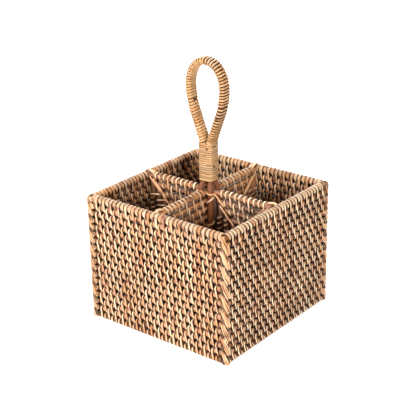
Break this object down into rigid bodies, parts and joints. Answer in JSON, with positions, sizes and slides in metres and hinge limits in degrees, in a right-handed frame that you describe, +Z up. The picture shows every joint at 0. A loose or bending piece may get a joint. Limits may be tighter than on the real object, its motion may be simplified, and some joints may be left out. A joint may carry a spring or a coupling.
{
  "type": "cutlery caddy",
  "caption": "Square woven rattan cutlery caddy with crossed dividers, open compartments and a tall bound loop handle.",
  "frame": {"origin": "on the ground, under the middle of the box", "axes": "+Z up, +X to the right along the front wall, +Y to the back wall; the loop lies in the XZ plane"},
  "size_m": [0.19, 0.19, 0.2939],
  "materials": {
    "rattan_rod": "peeled rattan rod, satin",
    "base_rod": "dark rattan rod with its skin on, satin",
    "strand": "split rattan strand, satin",
    "divider_rod": "grey-brown weathered rattan rod, matt",
    "handle_rod": "reddish brown rattan rod, satin",
    "cane": "honey-coloured cane strip, satin",
    "tack": "blackened steel tack head"
  },
  "bodies": {
    "root": {"front_wall_rods": "rattan_rod", "back_wall_rods": "rattan_rod", "left_wall_rods": "rattan_rod", "right_wall_rods": "rattan_rod", "front_rim_rod": "rattan_rod", "back_rim_rod": "rattan_rod", "left_rim_rod": "rattan_rod", "right_rim_rod": "rattan_rod", "floor_rods": "rattan_rod", "floor_bearers": "rattan_rod", "front_base_rod": "base_rod", "back_base_rod": "base_rod", "left_base_rod": "base_rod", "right_base_rod": "base_rod", "front_wall_weavers": "strand", "back_wall_weavers": "strand", "left_wall_weavers": "strand", "right_wall_weavers": "strand", "front_left_corner_lashing": "strand", "front_right_corner_lashing": "strand", "back_left_corner_lashing": "strand", "back_right_corner_lashing": "strand", "floor_weavers": "strand", "long_divider_weavers": "strand", "left_divider_weavers": "strand", "right_divider_weavers": "strand", "mitre_strands": "strand", "post_lashings": "strand", "rim_ties": "strand", "long_divider_rods": "divider_rod", "left_divider_rods": "divider_rod", "right_divider_rods": "divider_rod", "front_handle_rod": "handle_rod", "back_handle_rod": "handle_rod", "right_leg_binding": "cane", "right_bow_binding": "cane", "left_bow_binding": "cane", "left_leg_binding": "cane", "collar_binding": "cane", "collar_tacks": "tack"}
  },
  "joints": []
}
